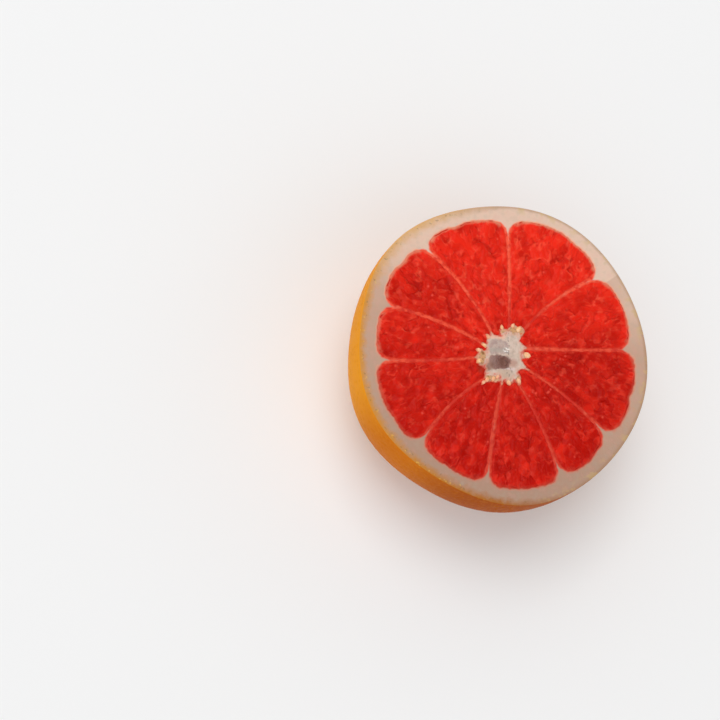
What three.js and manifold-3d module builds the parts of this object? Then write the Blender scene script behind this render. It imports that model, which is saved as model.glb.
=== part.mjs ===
// Half of a grapefruit, cut across its ten segments and lying on its dome with the cut face up.
//
// Millimetres, +Z up. The origin is at the middle of the bottom of the box round the part, so the
// floor is Z = 0 and the cut face is at Z = DEPTH. The face is laid out round its own middle, with
// angles in degrees counted from +X towards +Y. The fruit is one piece: rind, pith, the thin walls
// between the segments, the flesh, the core and the undeveloped seeds round it are one closed body.
import * as THREE from "three";
import { mergeVertices } from "three/addons/utils/BufferGeometryUtils.js";
import Module from "manifold-3d";

const wasm = await Module();
wasm.setup();

// ---- The outside ---------------------------------------------------------------------------------
const RIM_RADIUS = 51.7; // mean radius of the cut face
const DEPTH = 47; // from the cut face down to the spot it lies on
const GIRTH_BELOW_CUT = 1.5; // the widest ring lies this far below the cut
const DOME_SQUARENESS = 2.1; // 2 would make the dome's section an ellipse
const REST_SPOT_RADIUS = 9; // flat spot on the floor
const BELLY = 3.2; // how far the dome swells to one side at half its depth
const BELLY_TOWARDS = -129;
const RIM_LOBES = [
  { count: 5, height: 0.58, towards: -10 },
  { count: 3, height: 0.29, towards: 44 },
  { count: 4, height: 0.1, towards: 34 },
  { count: 6, height: 0.1, towards: 24 },
];
const DOME_SIDES = 64;
const DOME_RINGS = 20;

// ---- The cut face --------------------------------------------------------------------------------
const WALL_THICKNESS = 0.9; // of the skin between two segments, at half its length
const WALL_FLARE = 1.3; // how much thicker it is where it meets the pith
const FLARE_POWER = 8; // how late along the skin that thickening comes
const FLESH_DROP = 0.8; // mean depth of the flesh under the pith
const CORNER_BLEND = 5; // the segments' outer corners are rounded over this length
const TIP_BLEND = 1; // and their tips at the core over this one
const MIDDLE_OUT = 0.58; // share of the rim's radius at which a segment's middle lies
const NOTCH_WIDTH = 2.4; // half width of a notch in a segment's outer edge
const SAC_LENGTH = 9.5; // the juice sacs, as ridges in the flesh
const SAC_WIDTH = 3.6;
const SAC_HEIGHT = 0.38;
const SAC_WAVER = 1.6; // radians by which one pattern sways the other
const SAC_RIDGE_SHARE = 0.65;
const OUTLINE_SIDES = 38;
const FLESH_RINGS = 7;
const SIGHT_LINES = 240; // directions in which a segment's outline is looked for
const HALVINGS = 24; // of the distance along each of them
const CLEARANCE = 1; // how far the cutting bodies stand over the face

// Skins between the segments, clockwise from the top one. Each runs from the core to the pith and
// bows sideways by "bow" at its middle, to the anticlockwise side where it is positive.
const SKINS = [
  { rimAngle: 86.1, rimRadius: 42.2, coreAngle: 78.2, coreRadius: 6.8, bow: -0.4 },
  { rimAngle: 37.8, rimRadius: 44.2, coreAngle: 47.7, coreRadius: 9.1, bow: 2.1 },
  { rimAngle: 2.4, rimRadius: 44.4, coreAngle: 9.1, coreRadius: 7.0, bow: -0.3 },
  { rimAngle: -38.4, rimRadius: 41.6, coreAngle: -40.3, coreRadius: 9.4, bow: 1.1 },
  { rimAngle: -67.6, rimRadius: 42.2, coreAngle: -71.6, coreRadius: 11.4, bow: 1.0 },
  { rimAngle: -101.6, rimRadius: 41.2, coreAngle: -101.0, coreRadius: 11.0, bow: -0.4 },
  { rimAngle: -135.2, rimRadius: 41.7, coreAngle: -127.3, coreRadius: 11.6, bow: -1.85 },
  { rimAngle: -173.9, rimRadius: 43.0, coreAngle: -166.2, coreRadius: 10.9, bow: 0.5 },
  { rimAngle: -198.9, rimRadius: 43.8, coreAngle: -195.1, coreRadius: 8.1, bow: -1.5 },
  { rimAngle: -232.6, rimRadius: 42.2, coreAngle: -230.8, coreRadius: 7.7, bow: -1.9 },
];

// Segments, each clockwise of the skin of the same row. "edge" is the radius of the outer edge at its
// middle, "fall" how much lower it is at its clockwise end than at the other and "crown" how much
// lower both ends are than the middle; at the angle "notch" the edge dips by "dip".
const SEGMENTS = [
  { edge: 48.3, fall: 0, crown: 3.0, notch: 55, dip: 0.6 },
  { edge: 46.9, fall: 0.5, crown: 1.7, notch: 12, dip: 0.1 },
  { edge: 47.2, fall: 0.5, crown: 1.1, notch: -18.5, dip: 0.8 },
  { edge: 46.3, fall: -1.4, crown: 1.9, notch: -48, dip: 0.4 },
  { edge: 46.8, fall: 0.1, crown: 0.5, notch: -92, dip: 0.2 },
  { edge: 45.75, fall: 1.0, crown: 0.5, notch: -120, dip: 0.3 },
  { edge: 47.3, fall: 0.1, crown: 1.1, notch: -149, dip: 0.4 },
  { edge: 45.3, fall: 0.3, crown: 0, notch: -180, dip: 0.1 },
  { edge: 46.7, fall: 0.3, crown: 1.8, notch: -219.5, dip: 0.9 },
  { edge: 46.2, fall: 0.4, crown: 0.8, notch: -249.5, dip: 0.7 },
];

// ---- The core ------------------------------------------------------------------------------------
const CORE_MIDDLE = { x: -0.4, y: -2.0 };
const CORE_RADIUS = { x: 6.2, y: 7.4 };
const HOLLOW_MIDDLE = { x: -2.3, y: -2.7 };
const HOLLOW_RADIUS = { x: 4.3, y: 3.0 };
const HOLLOW_DEPTH = 3.4;
const HOLLOW_RAGGED = 0.1; // share by which its outline goes in and out

// Seeds that never grew, lying at the tips of the segments: place, length and the way they point.
const SEED_THICKNESS = 0.75; // width and height as a share of the length
const SEED_SUNK = 0.25; // share of the thickness that its middle lies under the face
const SEEDS = [
  { angle: 98, radius: 8.3, length: 1.9, points: 100 },
  { angle: 72, radius: 9.4, length: 2.0, points: 60 },
  { angle: 57, radius: 9.2, length: 2.9, points: 50 },
  { angle: 143, radius: 8.1, length: 2.6, points: 128 },
  { angle: 168, radius: 8.1, length: 2.3, points: 150 },
  { angle: 180, radius: 9.9, length: 2.2, points: 170 },
  { angle: 201, radius: 10.6, length: 2.6, points: 215 },
  { angle: 232, radius: 14.2, length: 2.0, points: 225 },
  { angle: 234, radius: 12.6, length: 2.3, points: 240 },
  { angle: 242, radius: 11.2, length: 2.2, points: 250 },
  { angle: 248, radius: 9.9, length: 2.0, points: 235 },
  { angle: 272, radius: 11.0, length: 2.4, points: 300 },
  { angle: 291, radius: 11.1, length: 2.6, points: 295 },
  { angle: 349, radius: 7.8, length: 3.4, points: 325 },
];

// ---- Colours of the tissues ----------------------------------------------------------------------
const RIND_COLOUR = new THREE.Color(0xd8952f);
const PITH_COLOUR = new THREE.Color(0xd6b8a6);
const FLESH_COLOUR = new THREE.Color(0xd4261b);
const CORE_COLOUR = new THREE.Color(0xd3c6b6);
const SEED_COLOUR = new THREE.Color(0xeab67c);
const ZEST_THICKNESS = 1.3; // of the coloured skin, seen as a ring round the cut face
const FACE_DEPTH = 5; // what is lower than this under the cut is the outside
const LEVEL = 0.02; // what is closer than this to the cut lies in it
const SEED_RING = 1; // width of the ring round the core in which the seeds lie

const radians = THREE.MathUtils.degToRad;
const lerp = THREE.MathUtils.lerp;

function polar(angle, radius) {
  return new THREE.Vector2(Math.cos(radians(angle)), Math.sin(radians(angle))).multiplyScalar(radius);
}

// The lesser of two distances, with the corner between them rounded over the given length.
function roundedMin(a, b, blend) {
  const overlap = Math.max(blend - Math.abs(a - b), 0) / blend;
  return Math.min(a, b) - (overlap * overlap * blend) / 4;
}

function rimRadius(turn) {
  let radius = RIM_RADIUS;
  for (const lobe of RIM_LOBES) {
    radius += lobe.height * Math.cos(lobe.count * (turn - radians(lobe.towards)));
  }
  return radius;
}

// ---- The outside body ----------------------------------------------------------------------------

// Share of the rim's radius that the dome has at a depth under the cut.
function domeShare(depth) {
  const oval = (share) => Math.pow(1 - Math.pow(Math.min(share, 1), DOME_SQUARENESS), 1 / DOME_SQUARENESS);
  const halfHeight = (DEPTH - GIRTH_BELOW_CUT) / oval(REST_SPOT_RADIUS / RIM_RADIUS);
  return oval(Math.abs(depth - GIRTH_BELOW_CUT) / halfHeight) / oval(GIRTH_BELOW_CUT / halfHeight);
}

function domeGeometry() {
  const profile = [new THREE.Vector2(0, 0)];
  for (let ring = DOME_RINGS; ring >= 0; ring -= 1) {
    const depth = DEPTH * Math.sin((ring / DOME_RINGS) * (Math.PI / 2));
    profile.push(new THREE.Vector2(RIM_RADIUS * domeShare(depth), DEPTH - depth));
  }
  profile.push(new THREE.Vector2(0, DEPTH));
  const geometry = new THREE.LatheGeometry(profile, DOME_SIDES);
  geometry.rotateX(Math.PI / 2);
  const place = geometry.attributes.position;
  for (let i = 0; i < place.count; i += 1) {
    const turn = Math.atan2(place.getY(i), place.getX(i));
    const radius = (Math.hypot(place.getX(i), place.getY(i)) * rimRadius(turn)) / RIM_RADIUS;
    const swell = BELLY * Math.sin(Math.PI * (1 - place.getZ(i) / DEPTH));
    const shift = polar(BELLY_TOWARDS, swell);
    place.setXY(i, radius * Math.cos(turn) + shift.x, radius * Math.sin(turn) + shift.y);
  }
  return geometry;
}

// ---- The segments --------------------------------------------------------------------------------

// Distance of a point to a bowed skin, positive on its clockwise side, less half its thickness.
function distanceToSkin(skin, point, side) {
  const start = polar(skin.coreAngle, skin.coreRadius);
  const end = polar(skin.rimAngle, skin.rimRadius);
  const along = end.clone().sub(start);
  const length = along.length();
  along.divideScalar(length);
  const offset = point.clone().sub(start);
  const share = offset.dot(along) / length;
  const inside = THREE.MathUtils.clamp(share, 0, 1);
  const bow = skin.bow * 4 * inside * (1 - inside);
  const sideways = along.x * offset.y - along.y * offset.x - bow;
  const flare = WALL_FLARE * Math.pow(inside, FLARE_POWER);
  return -side * sideways - (WALL_THICKNESS + flare) / 2;
}

// How far inside a segment a point is, in millimetres; it is negative outside.
function insideSegment(index, point) {
  const before = SKINS[index];
  const after = SKINS[(index + 1) % SKINS.length];
  const segment = SEGMENTS[index];
  const radius = point.length();
  const angle = THREE.MathUtils.radToDeg(Math.atan2(point.y, point.x));
  const turnTo = (target) => THREE.MathUtils.euclideanModulo(angle - target + 180, 360) - 180;
  const span = THREE.MathUtils.euclideanModulo(before.rimAngle - after.rimAngle, 360);
  const share = THREE.MathUtils.clamp(-turnTo(before.rimAngle) / span, 0, 1);
  const notchTurn = radians(turnTo(segment.notch)) * radius;
  const dip = segment.dip * Math.exp(-Math.pow(notchTurn / NOTCH_WIDTH, 2));
  const crown = segment.crown * Math.pow(2 * share - 1, 2);
  const edge = segment.edge - segment.fall * (share - 0.5) - crown - dip;
  const core = new THREE.Vector2(point.x - CORE_MIDDLE.x, point.y - CORE_MIDDLE.y);
  const coreShare = Math.hypot(core.x / CORE_RADIUS.x, core.y / CORE_RADIUS.y);
  const fromCore = core.length() * (1 - 1 / Math.max(coreShare, 0.01));
  const sides = Math.min(distanceToSkin(before, point, 1), distanceToSkin(after, point, -1));
  return roundedMin(roundedMin(sides, edge - radius, CORNER_BLEND), fromCore, TIP_BLEND);
}

// A point well inside the segment, from which all of its outline can be seen.
function segmentMiddle(index) {
  const before = SKINS[index];
  const after = SKINS[(index + 1) % SKINS.length];
  const span = THREE.MathUtils.euclideanModulo(before.rimAngle - after.rimAngle, 360);
  return polar(before.rimAngle - span / 2, RIM_RADIUS * MIDDLE_OUT);
}

// Where a straight line from the segment's middle leaves the segment.
function edgeSeen(index, middle, turn) {
  const direction = new THREE.Vector2(Math.cos(turn), Math.sin(turn));
  let near = 0;
  let far = RIM_RADIUS;
  for (let step = 0; step < HALVINGS; step += 1) {
    const half = (near + far) / 2;
    const point = middle.clone().addScaledVector(direction, half);
    if (insideSegment(index, point) > 0) near = half;
    else far = half;
  }
  return middle.clone().addScaledVector(direction, near);
}

// The outline of a segment, in corners that are evenly spaced along it.
function segmentOutline(index) {
  const middle = segmentMiddle(index);
  const heading = Math.atan2(middle.y, middle.x);
  const seen = [];
  for (let i = 0; i <= SIGHT_LINES; i += 1) {
    seen.push(edgeSeen(index, middle, heading + (i / SIGHT_LINES) * 2 * Math.PI));
  }
  const lengths = [0];
  for (let i = 1; i < seen.length; i += 1) lengths.push(lengths[i - 1] + seen[i].distanceTo(seen[i - 1]));
  const outline = [];
  let passed = 0;
  for (let corner = 0; corner < OUTLINE_SIDES; corner += 1) {
    const target = (corner / OUTLINE_SIDES) * lengths[SIGHT_LINES];
    while (lengths[passed + 1] < target) passed += 1;
    const share = (target - lengths[passed]) / (lengths[passed + 1] - lengths[passed]);
    outline.push(seen[passed].clone().lerp(seen[passed + 1], share));
  }
  return outline;
}

// Height of the flesh over its mean: long sacs that run outwards, waver on the way and end in turn.
function sacHeight(index, point) {
  const middle = segmentMiddle(index);
  const along = (2 * Math.PI * point.dot(middle)) / (middle.length() * SAC_LENGTH);
  const across = (2 * Math.PI * (middle.x * point.y - middle.y * point.x)) / (middle.length() * SAC_WIDTH);
  const ridge = Math.cos(across + SAC_WAVER * Math.sin(2 * along + index));
  const ends = Math.sin(along + SAC_WAVER * Math.sin(across / 3 + index));
  return SAC_HEIGHT * lerp(ends, ridge, SAC_RIDGE_SHARE);
}

// The space over a segment's flesh: cut out of the body, it leaves the flesh under the pith.
function spaceOverFlesh(index) {
  const middle = segmentMiddle(index);
  const outline = segmentOutline(index);
  const positions = [];
  const indices = [];
  const addRing = (share, height) => {
    for (const corner of outline) {
      const point = middle.clone().lerp(corner, share);
      positions.push(point.x, point.y, height(point));
    }
  };
  const floor = (share) => (point) => DEPTH - FLESH_DROP + (share < 1 ? sacHeight(index, point) : 0);
  for (let ring = 1; ring <= FLESH_RINGS; ring += 1) {
    const share = Math.pow(ring / FLESH_RINGS, 0.8);
    addRing(share, floor(share));
  }
  addRing(1, () => DEPTH + CLEARANCE);
  const bottom = positions.length / 3;
  positions.push(middle.x, middle.y, DEPTH - FLESH_DROP + sacHeight(index, middle));
  const top = bottom + 1;
  positions.push(middle.x, middle.y, DEPTH + CLEARANCE);
  const last = FLESH_RINGS * OUTLINE_SIDES;
  for (let i = 0; i < OUTLINE_SIDES; i += 1) {
    const next = (i + 1) % OUTLINE_SIDES;
    indices.push(bottom, next, i);
    for (let ring = 0; ring < FLESH_RINGS; ring += 1) {
      const inner = ring * OUTLINE_SIDES;
      const outer = inner + OUTLINE_SIDES;
      indices.push(inner + i, inner + next, outer + next);
      indices.push(inner + i, outer + next, outer + i);
    }
    indices.push(top, last + i, last + next);
  }
  const geometry = new THREE.BufferGeometry();
  geometry.setAttribute("position", new THREE.Float32BufferAttribute(positions, 3));
  geometry.setIndex(indices);
  return geometry;
}

// ---- The core and the seeds ----------------------------------------------------------------------

function coreHollow() {
  const geometry = new THREE.SphereGeometry(1, 14, 10);
  geometry.scale(HOLLOW_RADIUS.x, HOLLOW_RADIUS.y, HOLLOW_DEPTH);
  const place = geometry.attributes.position;
  for (let i = 0; i < place.count; i += 1) {
    const turn = Math.atan2(place.getY(i), place.getX(i));
    const ragged = 1 + HOLLOW_RAGGED * (Math.cos(3 * turn) + Math.sin(5 * turn));
    place.setXY(i, place.getX(i) * ragged, place.getY(i) * ragged);
  }
  geometry.translate(HOLLOW_MIDDLE.x, HOLLOW_MIDDLE.y, DEPTH);
  return geometry;
}

function seedGeometry(seed) {
  const geometry = new THREE.SphereGeometry(0.5, 6, 4);
  const width = seed.length * SEED_THICKNESS;
  geometry.scale(seed.length, width, width);
  geometry.rotateZ(radians(seed.points));
  const place = polar(seed.angle, seed.radius);
  geometry.translate(place.x, place.y, DEPTH - SEED_SUNK * width);
  return geometry;
}

// ---- Joining and colouring -----------------------------------------------------------------------

function toSolid(geometry) {
  const bare = new THREE.BufferGeometry();
  bare.setAttribute("position", geometry.attributes.position);
  bare.setIndex(geometry.index);
  const merged = mergeVertices(bare, 1e-4);
  const corners = merged.index.array;
  const kept = [];
  for (let i = 0; i < corners.length; i += 3) {
    const [a, b, c] = [corners[i], corners[i + 1], corners[i + 2]];
    if (a !== b && b !== c && c !== a) kept.push(a, b, c);
  }
  const mesh = new wasm.Mesh({
    numProp: 3,
    vertProperties: new Float32Array(merged.attributes.position.array),
    triVerts: new Uint32Array(kept),
  });
  return new wasm.Manifold(mesh);
}

// The tissue that shows at a point of the surface, from its place alone.
function tissueColour(point) {
  const flat = new THREE.Vector2(point.x, point.y);
  if (point.z > DEPTH + LEVEL) return SEED_COLOUR;
  const edge = rimRadius(Math.atan2(point.y, point.x)) - ZEST_THICKNESS;
  if (point.z < DEPTH - FACE_DEPTH || flat.length() > edge) return RIND_COLOUR;
  const core = Math.hypot(point.x - CORE_MIDDLE.x, point.y - CORE_MIDDLE.y);
  const sunk = point.z < DEPTH - LEVEL;
  if (core < CORE_RADIUS.y + SEED_RING) return sunk ? SEED_COLOUR : CORE_COLOUR;
  return sunk ? FLESH_COLOUR : PITH_COLOUR;
}

function toColouredGeometry(solid) {
  const mesh = solid.getMesh();
  const indexed = new THREE.BufferGeometry();
  indexed.setAttribute("position", new THREE.Float32BufferAttribute(mesh.vertProperties, 3));
  indexed.setIndex(new THREE.Uint32BufferAttribute(mesh.triVerts, 1));
  const geometry = indexed.toNonIndexed();
  const place = geometry.attributes.position;
  const colours = [];
  const corner = new THREE.Vector3();
  for (let i = 0; i < place.count; i += 3) {
    const middle = new THREE.Vector3();
    for (let j = 0; j < 3; j += 1) middle.add(corner.fromBufferAttribute(place, i + j));
    const colour = tissueColour(middle.divideScalar(3));
    for (let j = 0; j < 3; j += 1) colours.push(colour.r, colour.g, colour.b);
  }
  geometry.setAttribute("color", new THREE.Float32BufferAttribute(colours, 3));
  geometry.computeVertexNormals();
  return geometry;
}

let half = toSolid(domeGeometry());
for (let index = 0; index < SEGMENTS.length; index += 1) {
  half = half.subtract(toSolid(spaceOverFlesh(index)));
}
half = half.subtract(toSolid(coreHollow()));
for (const seed of SEEDS) half = half.add(toSolid(seedGeometry(seed)));

const fruit = toColouredGeometry(half);
fruit.computeBoundingBox();
const middle = fruit.boundingBox.getCenter(new THREE.Vector3());
fruit.translate(-middle.x, -middle.y, 0);

const material = new THREE.MeshStandardMaterial({ vertexColors: true, roughness: 0.42, metalness: 0 });
const grapefruitHalf = new THREE.Mesh(fruit, material);
grapefruitHalf.name = "grapefruit_half";

const group = new THREE.Group();
group.add(grapefruitHalf);

export default group;
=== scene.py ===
"""The looks of a grapefruit half that lies on its dome with the cut face up.

The layout of the cut face is the same as in the part's source: millimetres round the middle of the
face, with angles in degrees from +X towards +Y. A mesh is made in millimetres with the cut at height
0, and goes into the frame, in metres, as its last step.
"""

import math
from collections import namedtuple
from functools import partial
from types import SimpleNamespace

import bpy
import numpy as np
from mathutils import Matrix, Vector
from mathutils.geometry import delaunay_2d_cdt


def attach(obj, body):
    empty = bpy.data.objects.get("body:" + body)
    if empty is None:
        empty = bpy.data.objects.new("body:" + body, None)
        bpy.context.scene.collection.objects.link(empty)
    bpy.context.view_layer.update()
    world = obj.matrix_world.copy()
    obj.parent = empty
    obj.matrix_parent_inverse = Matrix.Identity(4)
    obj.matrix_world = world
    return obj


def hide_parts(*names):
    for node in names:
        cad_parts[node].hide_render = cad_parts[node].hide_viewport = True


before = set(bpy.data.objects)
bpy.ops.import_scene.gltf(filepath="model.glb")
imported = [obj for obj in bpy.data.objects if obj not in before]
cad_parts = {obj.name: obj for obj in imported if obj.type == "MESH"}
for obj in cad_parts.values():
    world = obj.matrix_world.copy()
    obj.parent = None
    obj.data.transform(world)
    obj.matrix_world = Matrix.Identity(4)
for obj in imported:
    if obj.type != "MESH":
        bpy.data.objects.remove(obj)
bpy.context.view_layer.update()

bl_info = {
    "name": "Grapefruit half",
    "version": (1, 0, 0),
    "blender": (4, 5, 0),
    "location": "3D View > Sidebar > Grapefruit",
    "description": "Makes the rind, pith, flesh, core and seeds of a cut grapefruit round its solid",
    "category": "Add Mesh",
}

NODE = "grapefruit_half"
BODY = "root"
MM = 0.001

# ---- The outside, as in the part's source --------------------------------------------------------
RIM_RADIUS = 51.7
DEPTH = 47.0
GIRTH_BELOW_CUT = 1.5
DOME_SQUARENESS = 2.1
REST_SPOT_RADIUS = 9.0
BELLY = 3.2
BELLY_TOWARDS = -129
Lobe = namedtuple("Lobe", "count height towards")
RIM_LOBES = (Lobe(5, 0.58, -10), Lobe(3, 0.29, 44), Lobe(4, 0.1, 34), Lobe(6, 0.1, 24))
SOLID_SIDES = 64
SOLID_RINGS = 20

# ---- The cut face, as in the part's source -------------------------------------------------------
WALL_THICKNESS = 0.9
WALL_FLARE = 1.3
FLARE_POWER = 8
CORNER_BLEND = 5.0
TIP_BLEND = 1.0
MIDDLE_OUT = 0.58
NOTCH_WIDTH = 2.4
SIGHT_LINES = 720
HALVINGS = 30

# Skins between the segments, clockwise from the top one. "swell" is what is added to the thickness
# round the share "swell_at" of the way out, and "faint_at" is where flesh half hides the skin.
Skin = namedtuple(
    "Skin", "rim_angle rim_radius core_angle core_radius bow swell swell_at faint_at faint_span")
SKINS = (
    Skin(86.1, 42.2, 78.2, 6.8, -0.4, 0.1, 0.5, 0.0, 0.05),
    Skin(37.8, 44.2, 47.7, 9.1, 2.1, 0.2, 0.8, 0.18, 0.16),
    Skin(2.4, 44.4, 9.1, 7.0, -0.3, 0.5, 0.1, 0.9, 0.05),
    Skin(-38.4, 41.6, -40.3, 9.4, 1.1, 0.0, 0.5, 0.55, 0.12),
    Skin(-67.6, 42.2, -71.6, 11.4, 1.0, 0.0, 0.5, 0.45, 0.3),
    Skin(-101.6, 41.2, -101.0, 11.0, -0.4, 0.7, 0.55, 0.0, 0.05),
    Skin(-135.2, 41.7, -127.3, 11.6, -1.85, 0.0, 0.5, 0.4, 0.2),
    Skin(-173.9, 43.0, -166.2, 10.9, 0.5, 0.1, 0.8, 0.5, 0.14),
    Skin(-198.9, 43.8, -195.1, 8.1, -1.5, 0.2, 0.4, 0.8, 0.08),
    Skin(-232.6, 42.2, -230.8, 7.7, -1.9, 0.1, 0.4, 0.32, 0.08),
)
SWELL_SPREAD = 0.22

# Segments, each clockwise of the skin of the same row.
Segment = namedtuple("Segment", "edge fall crown notch dip")
SEGMENTS = (
    Segment(48.3, 0.0, 3.0, 55.0, 0.6),
    Segment(46.9, 0.5, 1.7, 12.0, 0.1),
    Segment(47.2, 0.5, 1.1, -18.5, 0.8),
    Segment(46.3, -1.4, 1.9, -48.0, 0.4),
    Segment(46.8, 0.1, 0.5, -92.0, 0.2),
    Segment(45.75, 1.0, 0.5, -120.0, 0.3),
    Segment(47.3, 0.1, 1.1, -149.0, 0.4),
    Segment(45.3, 0.3, 0.0, -180.0, 0.1),
    Segment(46.7, 0.3, 1.8, -219.5, 0.9),
    Segment(46.2, 0.4, 0.8, -249.5, 0.7),
)
CORE_MIDDLE = np.array((-0.4, -2.0))
CORE_RADIUS = np.array((6.2, 7.4))
# The core's star: its corners, the hollows in it and the beds of soft tissue round it.
CORE_CORNERS = np.array((
    (-7.0, 5.4), (-1.8, 5.2), (0.8, 6.3), (4.7, 6.2), (5.0, 3.8), (7.0, 1.7), (5.4, -0.2), (5.5, -2.8),
    (7.0, -5.6), (4.0, -6.8), (3.2, -8.4), (1.8, -10.0), (-2.2, -10.0), (-3.0, -8.5), (-7.8, -8.0),
    (-8.2, -5.5), (-7.0, -2.7), (-6.9, 1.3)))
# Each hollow also gets painted shade: grey in the upper one and mauve-brown in the lower one.
Hollow = namedtuple("Hollow", "name x y across up depth")
HOLLOWS = (Hollow("brown", -2.7, -3.9, 4.2, 2.65, 1.3), Hollow("grey", -3.0, 1.4, 4.1, 2.8, 0.35))
Bed = namedtuple("Bed", "x y radius")
BEDS = (
    Bed(-8.6, -1.2, 1.7), Bed(-8.9, -3.9, 1.7), Bed(-6.6, -9.4, 1.6), Bed(-4.2, -9.6, 1.4),
    Bed(3.0, 7.2, 1.9), Bed(5.3, 7.0, 1.5), Bed(-0.8, 6.6, 1.3), Bed(6.4, -1.6, 1.0),
    Bed(0.6, -10.4, 1.2), Bed(3.7, -9.0, 1.2),
)
SEED_THICKNESS = 0.78
SEED_SUNK = 0.12
Seed = namedtuple("Seed", "angle radius length points")
SEEDS = (
    Seed(98, 8.3, 1.9, 100), Seed(72, 9.4, 2.0, 60), Seed(57, 9.2, 2.9, 50), Seed(143, 8.1, 2.6, 128),
    Seed(168, 8.1, 2.3, 150), Seed(180, 9.9, 2.2, 170), Seed(201, 10.6, 2.6, 215), Seed(232, 14.2, 2.0, 225),
    Seed(234, 12.6, 2.3, 240), Seed(242, 11.2, 2.2, 250), Seed(248, 9.9, 2.0, 235), Seed(272, 11.0, 2.4, 300),
    Seed(291, 11.1, 2.6, 295), Seed(349, 7.8, 3.4, 325),
)

# ---- What only the looks have --------------------------------------------------------------------
TONE_EDGE_ANGLE = 34
DOME_MESH_RINGS = 150
RIM_SIDES = 6 * DOME_MESH_RINGS
CUT_EDGE_ROUND = 0.3
ZEST_RINGS = 7
ZEST_RING_WIDTH = 1.45
PITH_THICKNESS = 3.9
PITH_SPACING = 0.23
PITH_LIP = 0.12
PITH_LIP_WIDTH = 0.5
FLESH_THICKNESS = 3.6
FLESH_SPACING = 0.16
FLESH_TUCK = 0.3
FLESH_SHOULDER = 0.3
SHOULDER_WIDTH = 0.5
FLESH_UNDER_CORE = 0.5
# Rows of juice sacs would meet so far behind the middle, and are as wide as given so far from there.
ROWS_MEET = 14
ROWS_REACH = 60
SEED_SLIMNESS = 0.86
SEED_TILT = -0.1
CORE_HOLE_SHARE = 0.93
CORE_SPACING = 0.13
CORE_PROUD = 0.12
CORE_SHOULDER = 0.6
CORE_SHOULDER_DROP = 0.5
SHARP_CORNER = 50
CAMERA_PLACE = Vector((-202.6, -128.8, 521.4))
CAMERA_AIM = Vector((-51.3, -4.8, 0.0))
FOCAL_LENGTH = 85.0
SENSOR_WIDTH = 36.0
FLOOR_REACH = 3
KEY_AZIMUTH = 128
KEY_ELEVATION = 70
SKY_LOW = 0.69
SKY_HIGH = 1.03
SKY_DIM_AZIMUTH = 33
SKY_DIM_ELEVATION = 65
SKY_DIM_FULL = 12
SKY_DIM_NONE = 42


# ---- Layout of the cut face ----------------------------------------------------------------------

def polar(angle, radius):
    """The place on the face at an angle in degrees and a radius."""
    turn = np.radians(angle)
    return np.array((np.cos(turn), np.sin(turn))) * radius


def rounded_min(a, b, blend):
    """The lesser of two distances, with the corner between them rounded over a length."""
    overlap = np.maximum(blend - np.abs(a - b), 0) / blend
    return np.minimum(a, b) - overlap * overlap * blend / 4


def rounded_max(a, b, blend):
    """The greater of two distances, rounded in the same way."""
    return -rounded_min(-a, -b, blend)


def smooth_step(low, high, value):
    """0 below the low value, 1 above the high one, and an S between them."""
    share = np.clip((value - low) / (high - low), 0, 1)
    return share * share * (3 - 2 * share)


def rim_radius(turn):
    """Radius of the cut's outline in a direction, in radians."""
    return RIM_RADIUS + sum(lobe.height * np.cos(lobe.count * (turn - math.radians(lobe.towards)))
                            for lobe in RIM_LOBES)


def dome_share(depth):
    """Share of the rim's radius that the dome has at a depth under the cut."""
    def oval(share):
        return (1 - np.minimum(share, 1) ** DOME_SQUARENESS) ** (1 / DOME_SQUARENESS)
    half_height = (DEPTH - GIRTH_BELOW_CUT) / oval(REST_SPOT_RADIUS / RIM_RADIUS)
    return oval(np.abs(depth - GIRTH_BELOW_CUT) / half_height) / oval(GIRTH_BELOW_CUT / half_height)


def dome_point(share, turn, depth):
    """The place on the dome at a share of the rim's radius, in a direction, at a depth under the cut."""
    radius = share * rim_radius(turn)
    swell = BELLY * np.sin(np.pi * depth / DEPTH)
    shift_x, shift_y = polar(BELLY_TOWARDS, 1)
    return np.stack((radius * np.cos(turn) + shift_x * swell, radius * np.sin(turn) + shift_y * swell,
                     -depth + 0 * turn), -1)


def face_middle():
    """Where the middle of the face lies in the frame: the solid is centred on the box round it."""
    depth = DEPTH * np.sin(np.arange(SOLID_RINGS + 1) / SOLID_RINGS * np.pi / 2)
    turn = np.arange(SOLID_SIDES) / SOLID_SIDES * 2 * np.pi
    depth, turn = np.meshgrid(depth, turn)
    points = dome_point(dome_share(depth), turn, depth).reshape(-1, 3)
    middle = (points.min(0) + points.max(0)) / 2
    return Vector((-middle[0], -middle[1], DEPTH))


FACE_MIDDLE = face_middle()


def along_line(start, end, x, y):
    """Share of the way along a straight line that a place is at, and its distance from the line."""
    way = end - start
    share = np.clip(((x - start[0]) * way[0] + (y - start[1]) * way[1]) / (way @ way), 0, 1)
    return share, np.hypot(x - start[0] - way[0] * share, y - start[1] - way[1] * share)


def along_skin(skin, x, y):
    """Share of the way out along a skin for a place, and its distance sideways from the bowed middle."""
    start = polar(skin.core_angle, skin.core_radius)
    end = polar(skin.rim_angle, skin.rim_radius)
    share, _ = along_line(start, end, x, y)
    along = (end - start) / np.hypot(*(end - start))
    return share, along[0] * (y - start[1]) - along[1] * (x - start[0]) - skin.bow * 4 * share * (1 - share)


def distance_to_skin(skin, x, y, side):
    """Distance to a bowed skin, positive on its clockwise side for side 1, less half its thickness."""
    share, sideways = along_skin(skin, x, y)
    swell = skin.swell * np.exp(-((share - skin.swell_at) / SWELL_SPREAD) ** 2)
    thickness = WALL_THICKNESS + WALL_FLARE * share ** FLARE_POWER + swell
    return -side * sideways - thickness / 2


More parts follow.
